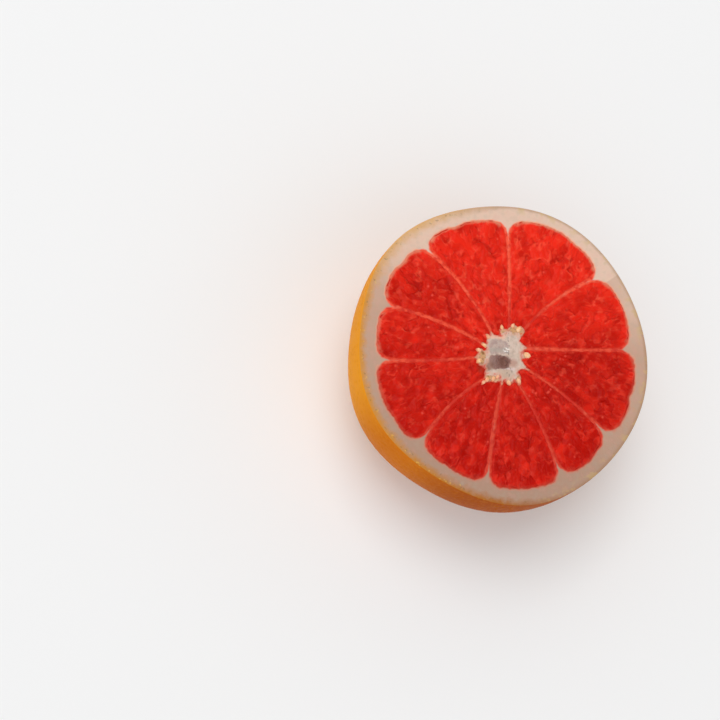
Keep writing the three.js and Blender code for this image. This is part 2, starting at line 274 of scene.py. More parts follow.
def faintness(x, y):
    """How far flesh hides the skin at a place: 1 where it is hidden most."""
    hidden = 0 * x
    for skin in SKINS:
        share, sideways = along_skin(skin, x, y)
        along = (share - skin.faint_at) / skin.faint_span
        hidden = np.maximum(hidden, np.exp(-along ** 2 - (sideways / 1.5) ** 4))
    return hidden


def from_core(x, y, scale=1.0):
    """Distance to the oval round the core, positive outside it."""
    off_x, off_y = x - CORE_MIDDLE[0], y - CORE_MIDDLE[1]
    share = np.maximum(np.hypot(off_x / CORE_RADIUS[0], off_y / CORE_RADIUS[1]) / scale, 0.01)
    return np.hypot(off_x, off_y) * (1 - 1 / share)


def waver(x, y, index):
    """A small slow wandering of the edges, about 0.1 mm, different for each segment."""
    return 0.07 * (np.sin(1.9 * x + 0.8 * y + index) + np.sin(2.3 * y - 1.2 * x + 2 * index)
                   + 0.6 * np.sin(3.7 * x - 3.1 * y + 3 * index))


def sides_of(index):
    """The skins before and after a segment, clockwise, and the degrees between them."""
    before = SKINS[index]
    after = SKINS[(index + 1) % len(SKINS)]
    return before, after, (before.rim_angle - after.rim_angle) % 360


def segment_middle(index):
    """A point well inside a segment, from which all of its outline can be seen."""
    before, _, span = sides_of(index)
    return polar(before.rim_angle - span / 2, RIM_RADIUS * MIDDLE_OUT)


def segment_gaps(index, x, y):
    """Distance from a place in a segment to the nearer skin, and to the segment's outer edge."""
    before, after, span = sides_of(index)
    segment = SEGMENTS[index]
    radius = np.hypot(x, y)
    angle = np.degrees(np.arctan2(y, x))
    share = np.clip((before.rim_angle - angle + 180) % 360 - 180, 0, span) / span
    notch_turn = np.radians((angle - segment.notch + 180) % 360 - 180) * radius
    dip = segment.dip * np.exp(-(notch_turn / NOTCH_WIDTH) ** 2)
    edge = segment.edge - segment.fall * (share - 0.5) - segment.crown * (2 * share - 1) ** 2 - dip
    return np.minimum(distance_to_skin(before, x, y, 1), distance_to_skin(after, x, y, -1)), edge - radius


def inside_segment(index, x, y):
    """How far inside a segment a place is; it is negative outside."""
    depth = rounded_min(*segment_gaps(index, x, y), CORNER_BLEND)
    return rounded_min(depth, from_core(x, y), TIP_BLEND) + waver(x, y, index)


def inside_any(x, y):
    """How far inside the nearest segment a place is."""
    return np.max([inside_segment(index, x, y) for index in range(len(SEGMENTS))], 0)


def inside_star(x, y):
    """How far inside the corners of the core's star a place is; it is negative outside."""
    nearest = np.full_like(x, np.inf)
    crossings = np.zeros(x.shape, int)
    for start, end in zip(CORE_CORNERS, np.roll(CORE_CORNERS, -1, 0)):
        nearest = np.minimum(nearest, along_line(start, end, x, y)[1])
        level = (y > start[1]) != (y > end[1])
        crossings += level & (x < start[0] + (y - start[1]) * (end[0] - start[0]) / (end[1] - start[1] or 1))
    return np.where(crossings % 2, nearest, -nearest)


def inside_core(x, y):
    """How far inside the core a place is: the star, an arm into each skin and the beds of soft tissue."""
    depth = rounded_max(inside_star(x, y), -5.0 + 0 * x, 1.0)
    for skin in SKINS:
        tip = polar(skin.core_angle, skin.core_radius)
        inwards = (CORE_MIDDLE - tip) / np.hypot(*(CORE_MIDDLE - tip))
        share, gap = along_line(tip + inwards * 4.0, tip - inwards * 0.8, x, y)
        depth = rounded_max(depth, 1.2 - 0.85 * share - gap, 0.8)
    for bed in BEDS:
        depth = rounded_max(depth, bed.radius - np.hypot(x - bed.x, y - bed.y), 1.5)
    return depth + 0.15 + waver(1.6 * x, 1.6 * y, 4)


def outline(inside, middle, spacing):
    """Evenly spaced points, anticlockwise, where a region that is seen whole from its middle ends."""
    def edge_seen(turns):
        near = np.zeros_like(turns)
        far = np.full_like(turns, RIM_RADIUS)
        for _ in range(HALVINGS):
            half = (near + far) / 2
            within = inside(middle[0] + half * np.cos(turns), middle[1] + half * np.sin(turns)) > 0
            near = np.where(within, half, near)
            far = np.where(within, far, half)
        return np.stack((middle[0] + near * np.cos(turns), middle[1] + near * np.sin(turns)), 1)
    turns = math.atan2(middle[1], middle[0]) + np.linspace(0, 2 * np.pi, SIGHT_LINES + 1)
    lengths = np.concatenate(([0], np.cumsum(np.hypot(*np.diff(edge_seen(turns), axis=0).T))))
    count = int(lengths[-1] / spacing)
    return edge_seen(np.interp(np.arange(count) / count * lengths[-1], lengths, turns))


def rim_points(gap):
    """Points round the face at a distance inside its rim, anticlockwise."""
    turns = np.arange(RIM_SIDES) / RIM_SIDES * 2 * np.pi
    radius = rim_radius(turns) - gap
    return np.stack((radius * np.cos(turns), radius * np.sin(turns)), 1)


# ---- Meshes --------------------------------------------------------------------------------------

def flat_mesh(loops, inside, spacing, filled=True):
    """Points and triangles of a flat region: its border loops and, if filled, an even grid inside them."""
    border = np.concatenate(loops)
    points = border
    if filled:
        low, high = border.min(0), border.max(0)
        x, y = np.meshgrid(np.arange(low[0], high[0], spacing),
                           np.arange(low[1], high[1], spacing * math.sqrt(3) / 2))
        x[1::2] += spacing / 2
        keep = inside(x, y) > 0.6 * spacing
        points = np.concatenate((border, np.stack((x[keep], y[keep]), 1)))
    edges = []
    for loop in loops:
        first = len(edges)
        edges += [(first + i, first + (i + 1) % len(loop)) for i in range(len(loop))]
    made = delaunay_2d_cdt([Vector(p) for p in points.tolist()], edges, [], 0, 1e-7)
    places = np.array([tuple(p) for p in made[0]])
    corners = np.array(made[2])
    corners = corners[inside(*places[corners].mean(1).T) > 0]
    (x1, y1), (x2, y2), (x3, y3) = (places[corners[:, k]].T for k in range(3))
    turned = (x2 - x1) * (y3 - y1) < (y2 - y1) * (x3 - x1)
    corners[turned] = corners[turned][:, ::-1]
    if len(places) != len(points) or not np.allclose(places, points, atol=1e-5):
        raise RuntimeError("the border of a flat piece crosses itself")
    return points, corners


def slab(loops, inside, spacing, thickness):
    """Points and triangles of a flat body with a fine top, and which points are in the top.

    The region is on the left of each loop, so the walls face outwards.
    """
    top, top_faces = flat_mesh(loops, inside, spacing)
    bottom, bottom_faces = flat_mesh(loops, inside, spacing, filled=False)
    faces = [top_faces, bottom_faces[:, ::-1] + len(top)]
    first = 0
    for loop in loops:
        here = first + np.arange(len(loop))
        there = first + (np.arange(len(loop)) + 1) % len(loop)
        faces.append(np.stack((here, here + len(top), there + len(top)), 1))
        faces.append(np.stack((here, there + len(top), there), 1))
        first += len(loop)
    points = np.zeros((len(top) + len(bottom), 3))
    points[:, :2] = np.concatenate((top, bottom))
    points[len(top):, 2] = -thickness
    return points, np.concatenate(faces), np.arange(len(points)) < len(top)


def disc_grid(rings):
    """Ring number and direction of each point of a round mesh of even triangles, and its triangles."""
    ring = np.concatenate([[0]] + [np.full(6 * k, k) for k in range(1, rings + 1)])
    turn = np.concatenate([[0.0]] + [np.arange(6 * k) / (6 * k) * 2 * np.pi for k in range(1, rings + 1)])
    faces = []
    for k in range(1, rings + 1):
        step = np.arange(6 * k)
        sector, along = step // k, step % k
        outer = 1 + 3 * k * (k - 1)
        inner = outer - 6 * (k - 1)
        inside_here = inner + (sector * (k - 1) + along) % max(6 * (k - 1), 1) if k > 1 else 0 * step
        faces.append(np.stack((outer + step, outer + (step + 1) % (6 * k), inside_here), 1))
        between = along < k - 1
        if k > 1:
            next_inside = inner + (sector * (k - 1) + along + 1) % (6 * (k - 1))
            faces.append(np.stack((outer + (step + 1) % (6 * k), next_inside, inside_here), 1)[between])
    return ring, turn, np.concatenate(faces)


def new_object(name, data):
    """An object in the scene."""
    made = bpy.data.objects.new(name, data)
    bpy.context.scene.collection.objects.link(made)
    return made


def add_piece(name, slot, points, faces, numbers, relief, finish, **inputs):
    """A finished piece of the fruit.

    Its points are in millimetres round the face's middle, with a number on each point for each name.
    """
    mesh = bpy.data.meshes.new(name)
    mesh.from_pydata(points.tolist(), [], faces.tolist())
    for label, values in numbers.items():
        attribute = mesh.attributes.new(label, "FLOAT", "POINT")
        attribute.data.foreach_set("value", np.asarray(values, np.float32))
    mesh.transform(Matrix.Translation(FACE_MIDDLE * MM) @ Matrix.Scale(MM, 4))
    piece = new_object(name, mesh)
    relief.grow(piece, finish, **inputs)
    piece.data.validate()
    piece.data.shade_smooth()
    piece.data.set_sharp_from_angle(angle=math.radians(SHARP_CORNER))
    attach(piece, BODY)
    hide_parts(NODE)


# ---- Node trees ----------------------------------------------------------------------------------

POINT_NUMBER = {"data_type": "FLOAT", "domain": "POINT"}


class Wire:
    """An output of a node. Each sum with it adds a Math node, and each method the node that it names."""

    def __init__(self, tree, socket):
        self.tree = tree
        self.socket = socket

    def __add__(self, other):
        return self.tree.maths("ADD", self, other)

    def __sub__(self, other):
        return self.tree.maths("SUBTRACT", self, other)

    def __rsub__(self, other):
        return self.tree.maths("SUBTRACT", other, self)

    def __mul__(self, other):
        return self.tree.maths("MULTIPLY", self, other)

    def __truediv__(self, other):
        return self.tree.maths("DIVIDE", self, other)

    def __pow__(self, other):
        return self.tree.maths("POWER", self, other)

    def __abs__(self):
        return self.tree.maths("ABSOLUTE", self)

    __radd__ = __add__
    __rmul__ = __mul__

    def step(self, low, high, start=0.0, end=1.0, kind="SMOOTHSTEP"):
        """A smooth step from start to end as the value goes from low to high."""
        return self.tree.node(
            "ShaderNodeMapRange", {"interpolation_type": kind}, (self, low, high, start, end))

    def plus(self, vector):
        return self.tree.vectors("ADD", self, vector)

    def times(self, *factors):
        """The vector times a number, or with each part times its own number."""
        if len(factors) == 1:
            return self.tree.vectors("SCALE", self, *factors)
        return self.tree.vectors("MULTIPLY", self, factors)

    def outputs(self):
        """Wires from all outputs of the node that this one comes from."""
        return [Wire(self.tree, socket) for socket in self.socket.node.outputs]

    def parts(self):
        return self.tree.node("ShaderNodeSeparateXYZ", values=(self,)).outputs()

    def noise(self, size, detail=2.0, roughness=0.5, output="Fac"):
        """Noise whose blobs are about so many millimetres wide, round 0.5."""
        return self.tree.node("ShaderNodeTexNoise", values={
            "Vector": self, "Scale": 1 / size, "Detail": detail, "Roughness": roughness}, output=output)

    def wander(self, size, detail=2.0):
        """A random vector round 0 that changes over about so many millimetres."""
        return self.noise(size, detail, output="Color").plus((-0.5, -0.5, -0.5))

    def cells(self, size, feature="F1"):
        """Distance in cells about so many millimetres apart."""
        return self.tree.node(
            "ShaderNodeTexVoronoi", {"feature": feature}, {"Vector": self, "Scale": 1 / size})

    def towards(self, angle):
        """How far out on the face a place lies in a direction: from -1 to 1 over the face."""
        return self.tree.vectors("DOT_PRODUCT", self, (*polar(angle, 1 / RIM_RADIUS), 0))

    def heading(self, angle):
        """How nearly a place lies in a direction from the middle of the face: from -1 to 1."""
        flat = self.tree.vectors("NORMALIZE", self.times(1, 1, 0))
        return self.tree.vectors("DOT_PRODUCT", flat, (*polar(angle, 1), 0))

    def spot(self, x, y, full, none):
        """1 within the lesser distance of a point of the face, and 0 beyond the greater one."""
        return self.tree.vectors("DISTANCE", self, (x, y, 0)).step(none, full)


class Tree:
    """A node tree that is written as expressions."""

    def __init__(self, node_tree):
        self.node_tree = node_tree

    def node(self, kind, settings=None, values=(), output=None):
        """A wire from a new node: first its settings, then numbers or wires for its inputs in use.

        The values go to inputs by name, or else in order. The wire comes from the named output, or
        else from the first one in use.
        """
        node = self.node_tree.nodes.new(kind)
        for name, setting in (settings or {}).items():
            setattr(node, name, setting)
        sockets = [socket for socket in node.inputs if socket.enabled]
        if isinstance(values, dict):
            sockets = [next(socket for socket in sockets if socket.name == name) for name in values]
            values = values.values()
        for socket, value in zip(sockets, values):
            if isinstance(value, Wire):
                self.node_tree.links.new(value.socket, socket)
            else:
                socket.default_value = value
        return Wire(self, next(s for s in node.outputs if s.enabled and output in (None, s.name)))

    def maths(self, operation, *numbers):
        return self.node("ShaderNodeMath", {"operation": operation}, numbers)

    def vectors(self, operation, *vectors):
        return self.node("ShaderNodeVectorMath", {"operation": operation}, vectors)

    def vector(self, x, y, z):
        return self.node("ShaderNodeCombineXYZ", values=(x, y, z))

    def blend(self, share, a, b):
        """The number from a to b by a share."""
        return self.node("ShaderNodeMix", {"data_type": "FLOAT"}, (share, a, b))


class Shape(Tree):
    """A Geometry Nodes tree with named inputs that takes a mesh and gives a mesh."""

    def __init__(self, name, **inputs):
        super().__init__(bpy.data.node_groups.new(name, "GeometryNodeTree"))
        self.defaults = inputs
        sockets = self.node_tree.interface
        sockets.new_socket("geometry", in_out="INPUT", socket_type="NodeSocketGeometry")
        for label, default in inputs.items():
            kind = "NodeSocketInt" if isinstance(default, int) else "NodeSocketFloat"
            sockets.new_socket(label, in_out="INPUT", socket_type=kind)
        sockets.new_socket("finish", in_out="INPUT", socket_type="NodeSocketMaterial")
        sockets.new_socket("geometry", in_out="OUTPUT", socket_type="NodeSocketGeometry")
        inlet = self.node_tree.nodes.new("NodeGroupInput")
        self.given = SimpleNamespace(**{s.name: Wire(self, s) for s in inlet.outputs if s.name})

    def attribute(self, name):
        return self.node("GeometryNodeInputNamedAttribute", {"data_type": "FLOAT"}, {"Name": name})

    def position(self):
        return self.node("GeometryNodeInputPosition")

    def place(self):
        """Place in millimetres round the middle of the face."""
        return self.position().times(1 / MM).plus(-FACE_MIDDLE)

    def store(self, geometry, **fields):
        """The geometry with a number on each point for each name."""
        for name, value in fields.items():
            geometry = self.node("GeometryNodeStoreNamedAttribute", POINT_NUMBER, {
                "Geometry": geometry, "Name": name, "Value": value})
        return geometry

    def move(self, geometry, vector, kind="Offset"):
        """Each point moved by a vector, or to it with the kind Position."""
        return self.node("GeometryNodeSetPosition", values={"Geometry": geometry, kind: vector})

    def lift(self, geometry, height):
        """Each point moved up by so many millimetres."""
        return self.move(geometry, self.vector(0.0, 0.0, height * MM))

    def turned(self, vector, angle):
        return self.node("ShaderNodeVectorRotate", {"rotation_type": "Z_AXIS"}, {
            "Vector": vector, "Angle": angle})

    def copies(self, points, mesh, euler, scale):
        """A turned and sized copy of a mesh on each point, as plain mesh."""
        turn = self.node("FunctionNodeEulerToRotation", values=(euler,))
        made = self.node("GeometryNodeInstanceOnPoints", values={
            "Points": points, "Instance": mesh, "Rotation": turn, "Scale": scale})
        return self.node("GeometryNodeRealizeInstances", values=(made,))

    def close(self, geometry):
        """Ends the tree: what was repeated becomes plain mesh and gets its finish."""
        real = self.node("GeometryNodeRealizeInstances", values=(geometry,))
        painted = self.node("GeometryNodeSetMaterial", values={
            "Geometry": real, "Material": self.given.finish})
        outlet = self.node_tree.nodes.new("NodeGroupOutput")
        self.node_tree.links.new(painted.socket, outlet.inputs[0])
        return self

    def grow(self, piece, finish, **inputs):
        """Lets the tree work on a piece, and leaves the result as a plain mesh."""
        values = {**self.defaults, **inputs, "finish": finish}
        modifier = piece.modifiers.new(self.node_tree.name, "NODES")
        modifier.node_group = self.node_tree
        for item in self.node_tree.interface.items_tree:
            if item.name in values:
                modifier[item.identifier] = values[item.name]
        grown = piece.evaluated_get(bpy.context.evaluated_depsgraph_get())
        mesh = bpy.data.meshes.new_from_object(grown)
        piece.modifiers.remove(modifier)
        piece.data = mesh
        mesh.name = piece.name


class Finish(Tree):
    """A material on one Principled shader."""

    def __init__(self, name, **constants):
        self.material = bpy.data.materials.new(name)
        self.material.use_nodes = True
        super().__init__(self.material.node_tree)
        self.shader = self.node_tree.nodes["Principled BSDF"]
        for label, value in constants.items():
            self.shader.inputs[label.replace("_", " ")].default_value = value

    def place(self):
        """Place in millimetres round the middle of the face."""
        return self.node("ShaderNodeTexCoord", output="Object").times(1 / MM).plus(-FACE_MIDDLE)

    def attribute(self, name):
        return self.node("ShaderNodeAttribute", {"attribute_name": name}, output="Fac")

    def layers(self, lowest, *above):
        """A colour with others over it, each with its share.

        A colour is a wire, one that the user sets, or three numbers as srgb takes them.
        """
        def ready(colour):
            if isinstance(colour, tuple):
                colour = srgb(*colour)
            return colour if isinstance(colour, Wire) else (*colour, 1)

        for colour, share in above:
            lowest = self.node("ShaderNodeMix", {"data_type": "RGBA"}, (share, ready(lowest), ready(colour)))
        return lowest

    def feed(self, label, wire):
        self.node_tree.links.new(wire.socket, self.shader.inputs[label])

    def painted(self, colour, height, distance):
        """The material, with its colour and with bumps of a greatest height in millimetres."""
        self.feed("Base Color", colour)
        self.feed("Normal", self.node("ShaderNodeBump", values={"Height": height, "Distance": distance * MM}))
        return self.material


# ---- What a user would change --------------------------------------------------------------------

def srgb(red, green, blue):
    """A colour as the eye reads it, 0 to 255 a channel, as the linear one that a shader takes."""
    shares = (red / 255, green / 255, blue / 255)
    return tuple(s / 12.92 if s <= 0.04045 else ((s + 0.055) / 1.055) ** 2.4 for s in shares)


def tint(name, description, value):
    return bpy.props.FloatVectorProperty(
        name=name, description=description, default=value, size=3, min=0, max=1, subtype="COLOR")


def length(name, description, value):
    return bpy.props.FloatProperty(
        name=name, description=description, default=value, min=0, unit="LENGTH", subtype="DISTANCE")


class GrapefruitSizes(bpy.types.PropertyGroup):
    """Sizes of the relief on the cut face and the rind."""

    sac_length: length("Sac length", "Mean length of a juice sac on the cut face", 7.2 * MM)
    sac_width: length("Sac width", "Distance between two juice sacs at the outer wall", 3.6 * MM)
    sac_bulge: length("Sac bulge", "How far the middle of a juice sac stands over its sides", 0.38 * MM)
    pore_spacing: length("Pore spacing", "Distance between two oil glands of the rind", 1.7 * MM)
    pore_depth: length("Pore depth", "Depth of the dimple over an oil gland", 0.1 * MM)


class GrapefruitColours(bpy.types.PropertyGroup):
    """Colours of the tissues in even light; the light and dark pith and flesh are lit and shaded copies for
    painted light and shade.
    """

    rind_gold: tint("Rind, gold", "The lighter colour of the rind", srgb(234, 150, 22))
    rind_orange: tint("Rind, orange", "The deeper colour of the rind", srgb(206, 112, 4))
    # The next two are lit and shaded copies of the pith, for painted light and shade across the face.
    pith_painted_light: tint("Pith, light", "The pith on the light side of the face", srgb(226, 194, 174))
    pith_painted_shade: tint("Pith, dark", "The pith on the darker side of the face", srgb(176, 141, 121))
    skin: tint("Skins", "The skins between the segments", srgb(250, 90, 60))
    # The next two are lit and shaded copies of the flesh, for painted light and shade across the face.
    flesh_painted_light: tint("Flesh, light", "The flesh on the light side of the face", srgb(234, 42, 24))
    flesh_painted_shade: tint("Flesh, dark", "The flesh on the darker side of the face", srgb(190, 22, 12))
    core: tint("Core", "The white fibres of the core", srgb(215, 193, 179))
    seed: tint("Seeds", "The seeds that never grew", srgb(240, 182, 126))


# ---- Finishes ------------------------------------------------------------------------------------

def cut_colour(tree, place, inward, colours):
    """Colour of the cut outside the flesh: zest at the rim, and pith with painted light towards the top of
    the face and painted shade below.

    On one side of the face the zest is golden and fades slowly, and elsewhere it is a thin tan line.
    """
    # Painted light and shade: side runs from the bottom of the face to the top, and the pith goes from its
    # shaded copy to its lit copy along it, with a sharp step near TONE_EDGE_ANGLE.
    beside = place.towards(TONE_EDGE_ANGLE + 90) * RIM_RADIUS
    near_edge = abs(beside).step(13.0, 1.0) * place.towards(35).step(0.5, 0.7)
    edge = (beside.step(-0.5, 0.5) - 0.5) * near_edge * 0.5
    side = place.towards(82) + (place.noise(9.0) - 0.5) * 0.25 + edge
    cloud = place.noise(2.4, detail=3.0)
    tone = tree.layers(
        colours.pith_painted_shade,
        ((195, 158, 137), side.step(-0.95, 0.05)),
        (colours.pith_painted_light, side.step(0.08, 0.7)),
        ((176, 164, 146), cloud.step(0.45, 0.7, 0.0, 0.2)),
        ((214, 160, 150), cloud.step(0.5, 0.3, 0.0, 0.16)))
    golden = place.heading(192).step(-0.3, 0.4)
    thin = tree.layers(
        (158, 88, 38),
        ((206, 143, 66), place.heading(160).step(-0.75, 1.0)),
        ((220, 178, 128), place.heading(105).step(0.5, 0.95, 0.0, 0.75)))
    zest = tree.layers(tone, ((158, 122, 88), 0.5), (thin, golden))
    ragged = inward + (place.noise(2.6, detail=3.0, roughness=0.6) - 0.5) * (1.0 + golden * 3.0)
    end = 1.3 + golden * 1.5 + place.heading(128).step(0.7, 1.0) * 1.2
    ring = inward.step(2.4, 1.6) * golden
    stray = place.noise(3.4).step(0.52, 0.62) * inward.step(3.2, 1.2) * (1 - golden)
    glint = place.noise(3.1, detail=1.0).step(0.5, 0.62) * place.cells(1.1).step(0.4, 0.1) * ring
    tick = place.noise(1.1, detail=1.0).step(0.6, 0.7) * ring * inward.step(0.4, 0.9)
    return tree.layers(
        zest,
        (tone, ragged.step(0.45 - golden * 0.25, end, kind="LINEAR")),
        ((206, 176, 112), stray * 0.35),
        ((236, 190, 88), glint * 0.5),
        ((128, 106, 70), tick * 0.45))


def rind_finish(colours):
    """Waxy rind with oil glands, painted shade deepening it towards the underside of the dome, and the ring
    of zest where it is cut.
    """
    tree = Finish("rind", Specular_IOR_Level=0.05)
    place = tree.place()
    inward = tree.attribute("inward")
    pore = tree.attribute("pore")
    patch = (place.noise(16.0, detail=3.0) - 0.5) * 0.3
    tree.feed("Roughness", 0.5 + pore * 0.1 + inward.step(0.0, 0.3, 0.0, 0.2))
    colour = tree.layers(
        colours.rind_gold,
        (colours.rind_orange, (place.towards(178) + patch).step(0.75, -0.5, 0.0, 0.6)),
        # Painted shade: deeper orange, then brown, towards the underside of the dome, where shade falls.
        (colours.rind_orange, (place.towards(255) + patch * 0.5).step(0.45, 0.85)),
        ((166, 76, 2), place.towards(277).step(0.6, 0.95)),
        ((226, 152, 40), place.noise(1.1).step(0.45, 0.8, 0.0, 0.22)),
        ((186, 92, 6), pore * 0.14),
        (cut_colour(tree, place, inward, colours), inward.step(-0.15, 0.15)))
    return tree.painted(colour, place.noise(0.35) + place.cells(0.6) * 0.6, 0.05)


def pith_finish(colours):
    """Spongy pith, pink where it meets the flesh, and the red skins between the segments, with painted light
    at the top of the face and painted shade below.
    """
    tree = Finish("pith", Roughness=0.6, Specular_IOR_Level=0.2, Subsurface_Weight=0.2,
                  Subsurface_Scale=0.0015, Subsurface_Radius=(1.0, 0.35, 0.2))
    place = tree.place()
    gap = tree.attribute("flesh_gap")
    # Painted light: rise is 1 towards the top of the face and 0 towards the bottom; it lightens the pink pith
    # and the skins' flanks, and lifts the painted shade off the skins.
    rise = place.towards(95).step(-0.8, 0.85)
    ragged = gap + (place.noise(1.6) - 0.5) * 0.7 + rise * 0.3
    cloud = place.noise(1.9, detail=3.0)
    wall = tree.layers(
        colours.skin,
        ((224, 54, 34), cloud.step(0.4, 0.65)),
        ((252, 124, 96), place.noise(3.1).step(0.55, 0.7, 0.0, 0.45)),
        # Painted shade: the skins darken towards the bottom of the face.
        ((176, 30, 20), rise.step(1.0, 0.0, 0.0, 0.5)),
        ((206, 40, 27), tree.attribute("faint") * cloud.step(0.25, 0.5)),
        ((236, 112, 84), tree.attribute("near_core") * 0.2),
        # The skins' flanks take the flesh's red, with painted light towards the top.
        (tree.layers((204, 36, 24), ((236, 64, 42), rise)), gap.step(0.28, -0.08, 0.0, 0.5)))
    colour = tree.layers(
        cut_colour(tree, place, tree.attribute("inward"), colours),
        # The pith pinks where it meets the flesh, and painted light makes the pink paler towards the top.
        (tree.layers((198, 132, 110), ((240, 180, 150), rise)), ragged.step(0.45, 1.15, 0.75, 0.0)),
        (tree.layers((186, 78, 56), ((243, 182, 150), rise)), ragged.step(0.05, 0.65, 0.9, 0.0)),
        (wall, tree.attribute("skin")))
    return tree.painted(colour, place.noise(0.5, detail=3.0) + place.noise(0.18, detail=1.0) * 0.5, 0.04)


def flesh_finish(colours):
    """Wet juice sacs: paler at their walls, painted shade in the creases and folds, painted highlights,
    painted light and shade from top to bottom, and no two of one tone.
    """
    tree = Finish("flesh", Roughness=0.3, IOR=1.36, Specular_IOR_Level=0.1, Subsurface_Weight=0.35,
                  Subsurface_Scale=0.0009, Subsurface_Radius=(1.0, 0.12, 0.06))
    place = tree.place()
    tone = tree.attribute("sac_tone")
    gap = tree.attribute("edge_gap")
    outer = tree.attribute("outer")
    # Painted light and shade: side and rise run from the bottom of the face to the top; the flesh goes from
    # its shaded copy to its lit copy along side, and rise lightens the pale colour towards the top.
    side = place.towards(85) + (place.noise(11.0) - 0.5) * 0.25
    rise = place.towards(95).step(-0.8, 0.85)
    pale = tree.layers((232, 72, 54), ((252, 104, 74), rise))
    dark = (160, 8, 2)
    patch = place.noise(5.2, detail=1.0)
    fine = place.noise(2.6)
    lively = place.noise(7.0).step(0.35, 0.65, 0.35, 1.0)
    scattered = fine.step(0.46, 0.6) * lively
    # Painted highlights: sparse small pale pink spots stand in for glints on the wet sacs.
    painted_glint = place.cells(3.0).step(0.22, 0.05) * place.noise(6.0).step(0.45, 0.6)
    # Painted shadow: line is a thin broken dark line along the flesh's outer edge, where it meets the pith.
    line = gap.step(0.0, 0.2) * gap.step(0.7, 0.3) * place.noise(5.0).step(0.5, 0.62) * outer
    beside = gap.step(0.5, -0.15, 0.0, 0.6) * (1 - outer) * (1 - tree.attribute("faint") * 0.8)
    colour = tree.layers(
        colours.flesh_painted_shade,
        (colours.flesh_painted_light, side.step(-0.7, 0.85)),
        # Painted shade: two darker patches, over the lower right and the upper left of the face.
        ((170, 14, 7), place.spot(28, -9, 10, 22) * 0.6 + place.spot(-26, 18, 6, 18) * 0.4),
        ((250, 48, 30), patch.step(0.5, 0.7, 0.0, 0.35)),
        (dark, patch.step(0.5, 0.3, 0.0, 0.3)),
        ((250, 58, 36), tone.step(0.5, 1.0, 0.0, 0.2)),
        (dark, tone.step(0.5, 0.0, 0.0, 0.22)),
        (pale, tree.attribute("sac_streak").step(0.55, 0.8, 0.0, 0.15)),
        # Painted shade in the creases between the sacs.
        (dark, tree.attribute("sac_crease") * 0.35),
        (pale, tree.attribute("sac_wall") * fine.step(0.45, 0.65) * lively * 0.4),
        (pale, tree.attribute("curl") * scattered * 0.36),
        # Painted shade in the folds beside the strands.
        (dark, tree.attribute("fold") * scattered * 0.5),
        # Painted highlights.
        ((252, 104, 86), painted_glint * 0.4),
        # The skins' colour spreads onto the flesh beside them, with painted light towards the top.
        (tree.layers((208, 52, 38), (colours.skin, rise)), beside),
        # Painted shadow along the outer edge.
        ((136, 24, 12), line * 0.45),
        # A pale brink at the outer edge: partly the real pale membrane, and partly painted light that makes
        # it stronger and paler towards the top.
        (tree.layers((204, 92, 70), ((230, 152, 120), rise)),
         gap.step(1.25, -0.1) * (0.33 + rise * 0.52) * (1 - line) * outer),
        # Painted shadow in the corner beside the core's lower left seed beds.
        ((140, 48, 30), place.spot(-9.2, -6.4, 0.5, 2.3) * 0.6))
    return tree.painted(colour, place.noise(0.5), 0.03)


